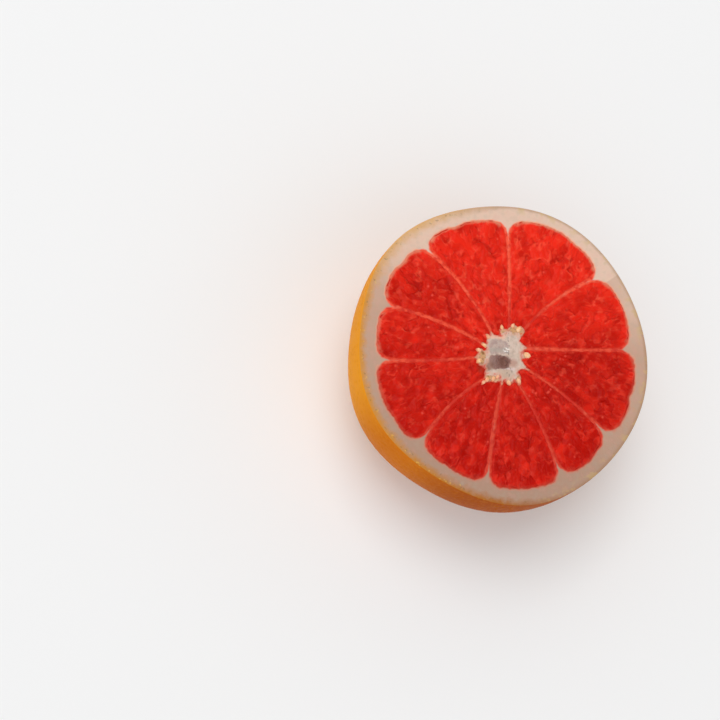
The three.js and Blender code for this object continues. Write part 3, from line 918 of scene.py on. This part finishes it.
def core_finish(colours):
    """White fibres, painted shade of grey and mauve-brown in the hollows, painted light on the lower hollow's
    lip, and yellow tissue round the seeds.
    """
    tree = Finish("core", Roughness=0.55, Specular_IOR_Level=0.2, Subsurface_Weight=0.2,
                  Subsurface_Scale=0.0012, Subsurface_Radius=(1.0, 0.6, 0.45))
    place = tree.place()
    cloud = place.noise(1.6, detail=3.0)
    tissue = place.noise(1.1, detail=3.0)
    flat = place.plus(place.wander(1.2).times(1.6)).times(1, 1, 0)
    across, up, _ = flat.parts()
    # Painted shade: grey over the upper, shallow hollow.
    grey = tree.layers(
        (196, 173, 162),
        ((180, 154, 146), cloud.step(0.4, 0.6)),
        ((180, 170, 158), abs(up - 0.3).step(1.2, 0.2, 0.0, 0.6)))
    # Painted shade: mauve-brown down in the lower hollow.
    mauve = tree.layers((164, 130, 121), ((148, 110, 101), across.step(-4.6, -1.6)))
    yellow = tree.layers(
        (150, 102, 60),
        ((204, 160, 112), tissue.step(0.38, 0.56)),
        ((210, 104, 64), tissue.step(0.58, 0.68)))
    strand = place.times(0.6, 1.6, 1.0).noise(0.9).step(0.46, 0.56)
    ledge = abs(up - 4.8).step(1.0, 0.3) * across.step(-6.0, -4.4) * across.step(0.8, -0.8)
    # Painted light: lip is the lit lower lip of the lower hollow.
    lip = abs(up + 6.3).step(0.5, 0.15) * across.step(-3.0, -1.0) * across.step(3.4, 2.0)
    crack = place.times(1.6, 0.8, 1.0).noise(0.9).step(0.55, 0.63) * abs(across - 0.5).step(1.6, 0.4)
    around = tree.attribute("outer") + flat.spot(3.8, 6.6, 0.8, 2.2) * 0.6 + (cloud - 0.5) * 0.6
    margin = tree.attribute("margin") + (tissue - 0.5) * 0.9
    colour = tree.layers(
        colours.core,
        ((200, 177, 161), cloud.step(0.35, 0.7)),
        ((204, 186, 162), place.noise(3.3).step(0.5, 0.8, 0.0, 0.4)),
        ((186, 144, 128), flat.spot(2.2, -4.2, 0.6, 2.4) * 0.8),
        ((194, 166, 144), flat.spot(-1.2, -8.6, 1.5, 4.0) * 0.7),
        # Painted shade in the two hollows.
        (grey, (tree.attribute("grey") + (cloud - 0.5) * 0.8).step(0.0, 0.6)),
        (mauve, (tree.attribute("brown") + (cloud - 0.5) * 0.6).step(0.05, 0.55)),
        # Painted shade: darkest at the left end and at the bottom of the lower hollow.
        ((144, 106, 92), flat.spot(-6.4, -5.3, 0.9, 2.6) * 0.85),
        ((134, 94, 82), flat.spot(-0.9, -3.8, 0.8, 2.6)),
        ((240, 234, 228), flat.spot(0.2, 0.2, 0.4, 1.5) * strand),
        ((236, 188, 164), ledge * 0.8),
        # Painted light on the hollow's lower lip.
        ((218, 196, 196), lip * 0.7),
        ((116, 100, 96), crack * 0.6),
        (yellow, around.step(0.2, 0.8)),
        # Painted shadow between the seed beds and the star, at the lower left.
        ((140, 88, 66), flat.spot(-8.4, -6.2, 0.8, 2.6) * 0.75),
        ((224, 168, 146), margin.step(1.5, 0.5, 0.0, 0.6)),
        ((206, 56, 36), margin.step(0.8, 0.1, 0.0, 0.9)))
    return tree.painted(colour, place.noise(0.35, detail=3.0), 0.08)


def seed_finish(colours):
    """Smooth moist seed coats, each of its own tone, that redden towards their points."""
    tree = Finish("seed", Roughness=0.36, Specular_IOR_Level=0.3, Subsurface_Weight=0.25,
                  Subsurface_Scale=0.001, Subsurface_Radius=(1.0, 0.6, 0.3))
    place = tree.place()
    cloud = place.noise(0.9)
    colour = tree.layers(
        colours.seed,
        ((252, 210, 166), cloud.step(0.35, 0.65)),
        ((246, 176, 148), tree.attribute("hue").step(0.3, 0.9, 0.0, 0.7)),
        ((226, 140, 96), place.noise(1.5).step(0.5, 0.68, 0.0, 0.5)),
        ((222, 96, 62), (tree.attribute("tip") + (cloud - 0.5) * 0.4).step(0.6, 1.0, 0.0, 0.75)))
    return tree.painted(colour, cloud, 0.04)


# ---- Relief --------------------------------------------------------------------------------------

def rind_shape():
    """Dimples over the oil glands of the dome, soft unevenness, and pits in the ring of cut zest."""
    tree = Shape("rind relief", pore_spacing=1.7, pore_depth=0.1, unevenness=0.22, cut_pits=0.08)
    given = tree.given
    place = tree.place()
    outside = tree.attribute("outside")
    inward = tree.attribute("inward")
    spacing = tree.vector(given.pore_spacing, given.pore_spacing, given.pore_spacing)
    pore = tree.vectors("DIVIDE", place, spacing).cells(1.0).step(0.16, 0.46, 1.0, 0.0)
    height = outside * ((place.noise(13.0, detail=1.0) - 0.5) * given.unevenness - pore * given.pore_depth)
    pit = place.cells(0.95).step(0.5, 0.15) * inward.step(0.1, 0.4) * inward.step(1.35, 1.1) * given.cut_pits
    geometry = tree.store(given.geometry, pore=pore * outside)
    geometry = tree.move(geometry, tree.node("GeometryNodeInputNormal").times(height * MM))
    return tree.close(tree.lift(geometry, pit * -1))


def pith_shape():
    """Spongy unevenness of the pith's and the skins' cut edges."""
    tree = Shape("pith relief", sponge=0.06, waves=0.12)
    height = (tree.place().noise(0.9) - 0.5) * tree.given.sponge \
        + (tree.place().noise(6.0, detail=1.0) - 0.5) * tree.given.waves
    return tree.close(tree.lift(tree.given.geometry, height * tree.attribute("top")))


def sac_shape():
    """Juice sacs: bent spines laid out in rows over a segment, and a ridge in the flesh along each."""
    tree = Shape("juice sacs", heading=0.0, sac_length=7.2, sac_width=3.6, bulge=0.38, steps=0.16, sway=3.6,
                 bend=1.4, burst_share=0.12, rows=12, columns=19, seed=1)
    given = tree.given

    def random(low, high, offset):
        return tree.node("FunctionNodeRandomValue", {"data_type": "FLOAT"}, {
            "Min": low, "Max": high, "Seed": given.seed + offset})

    # one spine for each place of a staggered grid; X runs out from the core, Y across the segment
    grid = tree.node("GeometryNodeMeshGrid", values={
        "Size X": given.sac_length * 0.86 * (given.rows - 1), "Size Y": given.sac_width * (given.columns - 1),
        "Vertices X": given.rows, "Vertices Y": given.columns})
    column = tree.maths("ROUND", tree.position().parts()[1] / given.sac_width + 100)
    odd = tree.maths("MODULO", column, 2)
    start = given.sac_length * 0.43 * (given.rows - 1) + 2 + odd * given.sac_length * 0.43
    nudge = tree.vector(start + random(-0.3, 0.3, 1) * given.sac_length,
                        random(-0.34, 0.34, 2) * given.sac_width, 0.0)
    grid = tree.move(tree.store(grid, odd=odd, tone=random(0.0, 1.0, 7), bend=random(-1.0, 1.0, 5)), nudge)
    line = tree.node("GeometryNodeCurvePrimitiveLine", values={"Start": (-0.5, 0, 0), "End": (0.5, 0, 0)})
    line = tree.node("GeometryNodeResampleCurve", values={"Curve": line, "Count": 18})
    line = tree.node("GeometryNodeCurveToMesh", values={"Curve": line})
    line = tree.store(line, along=tree.position().parts()[0])
    spines = tree.copies(grid, line, tree.vector(0.0, 0.0, random(-0.6, 0.6, 4)),
                         tree.vector(random(0.5, 1.15, 3) * given.sac_length, 1.0, 1.0))

    # the rows fan out from behind the core, and sway more the further they are from the outer wall
    flat = tree.position()
    out, across, _ = flat.parts()
    spines = tree.store(spines, out=out)
    loose = out.step(47.0, 36.0, 0.35, 1.0)
    drift = flat.plus(tree.vector(0.0, 0.0, given.seed * 9.1)).wander(6.0).times(given.sway * 2 * loose)
    bend = tree.attribute("bend") * given.bend * (1 - 4 * tree.attribute("along") ** 2) * loose
    spread = tree.vector(out, (across + bend) * (out + ROWS_MEET) / ROWS_REACH, 0.0)
    swayed = spread.plus(drift).times(1, 1, 0)
    spines = tree.move(spines, tree.turned(swayed, given.heading), "Position")

    # how far each point of the flesh is from the nearest spine of the odd and of the even columns
    place = tree.place()
    here = place.times(1, 1, 0)
    sample = here.plus(here.wander(4.0, detail=1.0).times(2.6)).times(1, 1, 0)
    split = tree.node("GeometryNodeSeparateGeometry", {"domain": "POINT"}, {
        "Geometry": spines, "Selection": tree.maths("GREATER_THAN", tree.attribute("odd"), 0.5)})
    found = []
    for columns in split.outputs():
        at = {"Geometry": columns, "Sample Position": sample}
        gap = tree.node("GeometryNodeProximity", {"target_element": "EDGES"}, at, "Distance")
        nearest = tree.node("GeometryNodeSampleNearest", {"domain": "POINT"}, at)
        found.append([gap] + [
            tree.node("GeometryNodeSampleIndex", POINT_NUMBER, {
                "Geometry": columns, "Value": tree.attribute(name), "Index": nearest})
            for name in ("tone", "out")])
    (odd_gap, odd_tone, odd_out), (even_gap, even_tone, even_out) = found
    choice = tree.maths("LESS_THAN", odd_gap, even_gap)
    gap = tree.maths("MINIMUM", odd_gap, even_gap)
    tone = tree.blend(choice, even_tone, odd_tone)
    along = tree.blend(choice, even_out, odd_out)
    lead = abs(odd_gap - even_gap)

    # the ridge over each spine, a step between neighbours, and sunken burst sacs
    radius = tree.vectors("LENGTH", here)
    bow = gap / (given.sac_width * 0.55 * (radius + ROWS_MEET) / ROWS_REACH)
    ridge = bow.step(1.4, 0.0) + 0.4 - tree.maths("MINIMUM", bow, 1.4) ** 2 * 0.4
    burst = tone.step(given.burst_share, given.burst_share * 0.6)
    grain = tree.vector(along * 0.4, gap * 1.3, tone * 40).noise(1.0, detail=1.5)

    # thin strands that wind over the sacs, each with a fold beside it
    own_out, own_across, _ = tree.turned(here, given.heading * -1).parts()
    own = tree.vector(own_out * 0.85, own_across, given.seed * 9.1)
    wave = own.plus(own.wander(4.0, detail=1.0).times(4.5)).noise(3.6, detail=1.0)
    radial = tree.vector(own_out * 0.3, own_across, given.seed * 4.7).noise(1.7, detail=1.0)
    wave = tree.blend(radius.step(35.0, 44.0, 0.0, 0.55), wave, radial)
    curl = abs(wave - 0.52).step(0.1, 0.0)
    fold = abs(wave - 0.4).step(0.1, 0.0)

    detail = ridge * given.bulge + ((tone - 0.5) * given.steps - burst * 0.15) * lead.step(0.0, 0.7) \
        + (grain - 0.5) * 0.06 + curl * 0.12 - fold * 0.18
    lively = place.noise(7.0).step(0.35, 0.65, 0.45, 1.15)
    height = detail * lively - 0.12 + (place.noise(6.0, detail=1.0) - 0.5) * 0.7
    # The crease and fold masks also carry painted shade in the flesh's finish.
    geometry = tree.store(
        given.geometry, sac_tone=tone, sac_wall=lead.step(0.6, 0.0) * bow.step(0.25, 0.6),
        sac_crease=bow.step(0.8, 1.4), sac_streak=grain, curl=curl, fold=fold)
    free = tree.attribute("top") * tree.attribute("edge_gap").step(-0.1, 0.9)
    return tree.close(tree.lift(geometry, height * free))


def core_shape():
    """Fibres of the core: lumps and threads, rougher down in the hollow."""
    tree = Shape("core fibres", lumps=0.35, threads=0.25)
    place = tree.place()
    sunk = tree.attribute("sunk")
    lumps = (place.noise(1.5) - 0.5) * tree.given.lumps * (1 + sunk)
    threads = place.times(1.0, 0.35, 1.0).cells(0.8, "DISTANCE_TO_EDGE").step(0.12, 0.0) * tree.given.threads
    height = (lumps + threads * (0.3 + sunk)) * tree.attribute("top")
    return tree.close(tree.lift(tree.given.geometry, height))


def seed_shape():
    """A seed on each point: a drop that is turned and sized by the point's own numbers."""
    tree = Shape("seeds", wrinkles=0.12)
    points = tree.node("GeometryNodeMeshToPoints", values={"Mesh": tree.given.geometry})
    ball = tree.node("GeometryNodeMeshUVSphere", values={"Segments": 18, "Rings": 12, "Radius": 0.5 * MM})
    x, y, z = tree.position().parts()
    share = z / MM + 0.5
    narrow = (1 - share.step(0.35, 1.0) * 0.4) * SEED_THICKNESS
    drop = tree.vector(z, x * narrow * SEED_SLIMNESS, y * narrow)
    drop = tree.move(tree.store(ball, tip=share), drop, "Position")
    size = tree.attribute("length")
    seeds = tree.copies(points, drop, tree.vector(0.0, SEED_TILT, tree.attribute("turn")),
                        tree.vector(size, size, size))
    wobble = tree.place().wander(0.9).times(tree.given.wrinkles * 2 * MM)
    return tree.close(tree.move(seeds, wobble))


# ---- Pieces --------------------------------------------------------------------------------------

def make_rind(sizes, colours):
    """A closed cup: the dome, a rounded edge at the cut, the ring of zest and a wall down behind the pith."""
    depth = DEPTH * np.cos(np.linspace(0, np.pi / 2, 200))
    depth = np.append(depth[depth >= CUT_EDGE_ROUND], CUT_EDGE_ROUND)
    radius = np.append(0.0, RIM_RADIUS * dome_share(depth))
    depth = np.append(DEPTH, depth)
    lengths = np.concatenate(([0], np.cumsum(np.hypot(np.diff(depth), np.diff(radius)))))
    ring, turn, faces = disc_grid(DOME_MESH_RINGS)
    reach = ring / DOME_MESH_RINGS * lengths[-1]
    radius = np.interp(reach, lengths, radius)
    depth = np.interp(reach, lengths, depth)
    points = [dome_point(radius / RIM_RADIUS, turn, depth)]
    inward = [-depth]
    faces = [faces[:, ::-1]]
    edge = [(CUT_EDGE_ROUND * (1 - math.cos(a)), -CUT_EDGE_ROUND * (1 - math.sin(a)))
            for a in np.radians((30, 60, 90))]
    flat = [(gap, 0.0) for gap in np.linspace(CUT_EDGE_ROUND, ZEST_RING_WIDTH, ZEST_RINGS + 1)[1:]]
    total = len(turn)
    first = total - RIM_SIDES
    side = np.arange(RIM_SIDES)
    after = (side + 1) % RIM_SIDES
    for gap, height in edge + flat + [(ZEST_RING_WIDTH, -PITH_THICKNESS)]:
        points.append(np.column_stack((rim_points(gap), np.full(RIM_SIDES, height))))
        inward.append(np.full(RIM_SIDES, gap))
        faces.append(np.stack((first + side, first + after, total + after), 1))
        faces.append(np.stack((first + side, total + after, total + side), 1))
        first = total
        total += RIM_SIDES
    points.append([(0.0, 0.0, -PITH_THICKNESS)])
    inward.append([RIM_RADIUS])
    faces.append(np.stack((first + side, first + after, np.full(RIM_SIDES, total)), 1))
    outside = np.zeros(total + 1)
    outside[:len(turn)] = smooth_step(0.4, 2.0, depth) * smooth_step(DEPTH, DEPTH - 1.5, depth)
    add_piece("rind", "rind", np.concatenate(points), np.concatenate(faces),
              {"inward": np.concatenate(inward), "outside": outside}, rind_shape(), rind_finish(colours),
              pore_spacing=sizes.pore_spacing / MM, pore_depth=sizes.pore_depth / MM)


def make_pith(colours):
    """The ring of pith and the skins between the segments, as one slab with pockets for the flesh."""
    def in_hole(x, y):
        return -from_core(x, y, CORE_HOLE_SHARE)

    def inside(x, y):
        rim_gap = rim_radius(np.arctan2(y, x)) - ZEST_RING_WIDTH - np.hypot(x, y)
        return np.minimum(np.minimum(rim_gap, -in_hole(x, y)), -inside_any(x, y))

    loops = [rim_points(ZEST_RING_WIDTH), outline(in_hole, CORE_MIDDLE, PITH_SPACING)[::-1]]
    for index in range(len(SEGMENTS)):
        loops.append(outline(partial(inside_segment, index), segment_middle(index), PITH_SPACING)[::-1])
    points, faces, top = slab(loops, inside, PITH_SPACING, PITH_THICKNESS)
    x, y = points[:, 0], points[:, 1]
    gap = -inside_any(x, y)
    points[:, 2] -= top * PITH_LIP * np.clip(1 - gap / PITH_LIP_WIDTH, 0, 1) ** 2
    add_piece("pith", "pith", points, faces, {
        "flesh_gap": gap, "top": top * smooth_step(0.0, 0.5, gap),
        "skin": 1 - smooth_step(0.55, 1.25, gap + 0.9 * smooth_step(42, 47, np.hypot(x, y))),
        "near_core": 1 - smooth_step(8.5, 13.0, np.hypot(x, y - CORE_MIDDLE[1])),
        "inward": rim_radius(np.arctan2(y, x)) - np.hypot(x, y), "faint": faintness(x, y),
    }, pith_shape(), pith_finish(colours))


def make_flesh(sizes, colours):
    """The flesh of each segment: a pad that reaches a little way under the skins."""
    relief = sac_shape()
    finish = flesh_finish(colours)
    for index in range(len(SEGMENTS)):
        def inside(x, y):
            return inside_segment(index, x, y) + FLESH_TUCK

        middle = segment_middle(index)
        border = outline(inside, middle, FLESH_SPACING)
        points, faces, top = slab([border], inside, FLESH_SPACING, FLESH_THICKNESS)
        x, y = points[:, 0], points[:, 1]
        gap = inside(x, y) - FLESH_TUCK
        shoulder = np.clip((SHOULDER_WIDTH - gap) / (SHOULDER_WIDTH + FLESH_TUCK), 0, 1) ** 2
        under_core = smooth_step(-0.2, 0.4, inside_core(x, y))
        points[:, 2] -= top * (FLESH_SHOULDER * shoulder + FLESH_UNDER_CORE * under_core)
        to_skin, to_edge = segment_gaps(index, x, y)
        add_piece(f"flesh_{index + 1:02d}", "flesh", points, faces, {
            "edge_gap": gap, "top": top, "faint": faintness(x, y),
            "outer": smooth_step(-0.8, 1.2, to_skin - to_edge),
        }, relief, finish, heading=math.atan2(middle[1], middle[0]), sac_length=sizes.sac_length / MM,
            sac_width=sizes.sac_width / MM, bulge=sizes.sac_bulge / MM, seed=11 + index)


def make_core(colours):
    """The core: a star of white fibres with two hollows in it."""
    border = outline(inside_core, CORE_MIDDLE, CORE_SPACING)
    points, faces, top = slab([border], inside_core, CORE_SPACING, PITH_THICKNESS)
    x, y = points[:, 0], points[:, 1]
    depth = inside_core(x, y)
    sunk = 0 * x
    # Each hollow's mask shapes its dip and carries the hollow's painted shade into the core's finish.
    hollow_shape_and_shade = {}
    for index, hollow in enumerate(HOLLOWS):
        off_x, off_y = (x - hollow.x) / hollow.across, (y - hollow.y) / hollow.up
        turn = np.arctan2(y - hollow.y, x - hollow.x)
        ragged = 1 + 0.05 * (np.cos(3 * turn + index) + np.sin(5 * turn) + 0.7 * np.sin(11 * turn + index))
        share = (np.abs(off_x) ** 3 + np.abs(off_y) ** 3) ** (1 / 3) / ragged
        hollow_shape_and_shade[hollow.name] = np.clip(1 - share ** 4, 0, 1)
        sunk = np.maximum(sunk, hollow.depth * hollow_shape_and_shade[hollow.name] * smooth_step(-1.2, 0.2, off_x))
    sunk *= smooth_step(0.3, 1.3, -from_core(x, y))
    shoulder = np.clip(1 - depth / CORE_SHOULDER, 0, 1) ** 2
    points[:, 2] += top * (CORE_PROUD - CORE_SHOULDER_DROP * shoulder - sunk)
    add_piece("core", "core", points, faces, {
        "sunk": sunk, "outer": smooth_step(0.1, 0.9, -inside_star(x, y)), "margin": depth,
        "top": top * smooth_step(0, 0.5, depth), **hollow_shape_and_shade}, core_shape(), core_finish(colours))


def make_seeds(colours):
    """The undeveloped seeds round the core."""
    places = np.array([(*polar(s.angle, s.radius), -SEED_SUNK * SEED_THICKNESS * s.length) for s in SEEDS])
    add_piece("seeds", "seed", places, np.zeros((0, 3), int), {
        "length": [s.length for s in SEEDS], "turn": [math.radians(s.points) for s in SEEDS],
        "hue": [s.angle * 0.37 % 1 for s in SEEDS]}, seed_shape(), seed_finish(colours))


# ---- Stage ---------------------------------------------------------------------------------------

def upward(azimuth, elevation):
    """A direction from the fruit. Azimuth is an angle of the face."""
    rise = math.radians(elevation)
    return Vector((*polar(azimuth, math.cos(rise)), math.sin(rise)))


def make_camera():
    """A camera that looks down on the cut face and keeps the top of the face up."""
    camera = new_object("camera", bpy.data.cameras.new("camera"))
    camera.data.lens = FOCAL_LENGTH
    camera.data.sensor_width = SENSOR_WIDTH
    camera.rotation_mode = "QUATERNION"
    camera.location = (FACE_MIDDLE + CAMERA_PLACE) * MM
    camera.rotation_quaternion = Vector((0, 0, 1)).rotation_difference(CAMERA_PLACE - CAMERA_AIM)
    bpy.context.scene.camera = camera


def make_floor():
    mesh = bpy.data.meshes.new("floor")
    corners = [(x * FLOOR_REACH, y * FLOOR_REACH, 0) for x, y in ((-1, -1), (1, -1), (1, 1), (-1, 1))]
    mesh.from_pydata(corners, [], [(0, 1, 2, 3)])
    tree = Finish("floor", Base_Color=(0.892, 0.899, 0.904, 1), Roughness=0.7, Specular_IOR_Level=0.2)
    mesh.materials.append(tree.material)
    new_object("floor", mesh)


def make_light(name, out, distance, size, power):
    """A square soft light in a direction from the fruit, which it faces."""
    light = new_object(name, bpy.data.lights.new(name, "AREA"))
    light.data.size = size
    light.data.energy = power
    light.location = out * distance
    light.rotation_mode = "QUATERNION"
    light.rotation_quaternion = out.to_track_quat("Z", "Y")


def make_sky():
    """A soft white surround, brighter overhead, and dim where the wet face would mirror it."""
    world = bpy.data.worlds.new("studio")
    world.use_nodes = True
    tree = Tree(world.node_tree)
    background = world.node_tree.nodes["Background"]
    background.inputs["Color"].default_value = (1.0, 0.995, 0.99, 1)
    direction = tree.node("ShaderNodeTexCoord", output="Generated")
    nearness = tree.vectors("DOT_PRODUCT", direction, upward(SKY_DIM_AZIMUTH, SKY_DIM_ELEVATION))
    full, none = (math.cos(math.radians(angle)) for angle in (SKY_DIM_FULL, SKY_DIM_NONE))
    dimness = nearness.step(none, full, 1.0, 0.1)
    strength = direction.parts()[2].step(0.0, 0.95, SKY_LOW, SKY_HIGH) * dimness
    world.node_tree.links.new(strength.socket, background.inputs["Strength"])
    bpy.context.scene.world = world


# ---- Operators and panel -------------------------------------------------------------------------

class GRAPEFRUIT_OT_stage(bpy.types.Operator):
    """Adds the floor, the light and the camera"""

    bl_idname = "grapefruit.stage"
    bl_label = "Stage"

    def execute(self, context):
        make_camera()
        make_floor()
        make_light("key", upward(KEY_AZIMUTH, KEY_ELEVATION), distance=3.0, size=1.8, power=30)
        make_sky()
        context.scene.view_settings.view_transform = "Standard"
        return {"FINISHED"}


class GRAPEFRUIT_OT_rind(bpy.types.Operator):
    """Makes the rind with its pores and the ring of zest at the cut"""

    bl_idname = "grapefruit.rind"
    bl_label = "Rind"

    def execute(self, context):
        make_rind(context.scene.grapefruit_sizes, context.scene.grapefruit_colours)
        return {"FINISHED"}


class GRAPEFRUIT_OT_pith(bpy.types.Operator):
    """Makes the pith and the skins between the segments"""

    bl_idname = "grapefruit.pith"
    bl_label = "Pith and skins"

    def execute(self, context):
        make_pith(context.scene.grapefruit_colours)
        return {"FINISHED"}


class GRAPEFRUIT_OT_flesh(bpy.types.Operator):
    """Makes the flesh of the ten segments"""

    bl_idname = "grapefruit.flesh"
    bl_label = "Flesh"

    def execute(self, context):
        make_flesh(context.scene.grapefruit_sizes, context.scene.grapefruit_colours)
        return {"FINISHED"}


class GRAPEFRUIT_OT_core(bpy.types.Operator):
    """Makes the core with its hollows"""

    bl_idname = "grapefruit.core"
    bl_label = "Core"

    def execute(self, context):
        make_core(context.scene.grapefruit_colours)
        return {"FINISHED"}


class GRAPEFRUIT_OT_seeds(bpy.types.Operator):
    """Makes the undeveloped seeds round the core"""

    bl_idname = "grapefruit.seeds"
    bl_label = "Seeds"

    def execute(self, context):
        make_seeds(context.scene.grapefruit_colours)
        return {"FINISHED"}


OPERATORS = (GRAPEFRUIT_OT_stage, GRAPEFRUIT_OT_rind, GRAPEFRUIT_OT_pith, GRAPEFRUIT_OT_flesh,
             GRAPEFRUIT_OT_core, GRAPEFRUIT_OT_seeds)


class GRAPEFRUIT_PT_parts(bpy.types.Panel):
    """Lists what can be made, and the sizes and colours"""

    bl_idname = "GRAPEFRUIT_PT_parts"
    bl_label = "Grapefruit half"
    bl_space_type = "VIEW_3D"
    bl_region_type = "UI"
    bl_category = "Grapefruit"

    def draw(self, context):
        for group in (context.scene.grapefruit_sizes, context.scene.grapefruit_colours):
            for name in group.__annotations__:
                self.layout.prop(group, name)
        for operator in OPERATORS:
            self.layout.operator(operator.bl_idname)


CLASSES = (GrapefruitSizes, GrapefruitColours, *OPERATORS, GRAPEFRUIT_PT_parts)


def register():
    for one in CLASSES:
        bpy.utils.register_class(one)
    bpy.types.Scene.grapefruit_sizes = bpy.props.PointerProperty(type=GrapefruitSizes)
    bpy.types.Scene.grapefruit_colours = bpy.props.PointerProperty(type=GrapefruitColours)


def unregister():
    del bpy.types.Scene.grapefruit_colours
    del bpy.types.Scene.grapefruit_sizes
    for one in reversed(CLASSES):
        bpy.utils.unregister_class(one)


def main():
    register()
    bpy.ops.grapefruit.stage()
    bpy.ops.grapefruit.rind()
    bpy.ops.grapefruit.pith()
    bpy.ops.grapefruit.flesh()
    bpy.ops.grapefruit.core()
    bpy.ops.grapefruit.seeds()


if __name__ == "__main__":
    main()
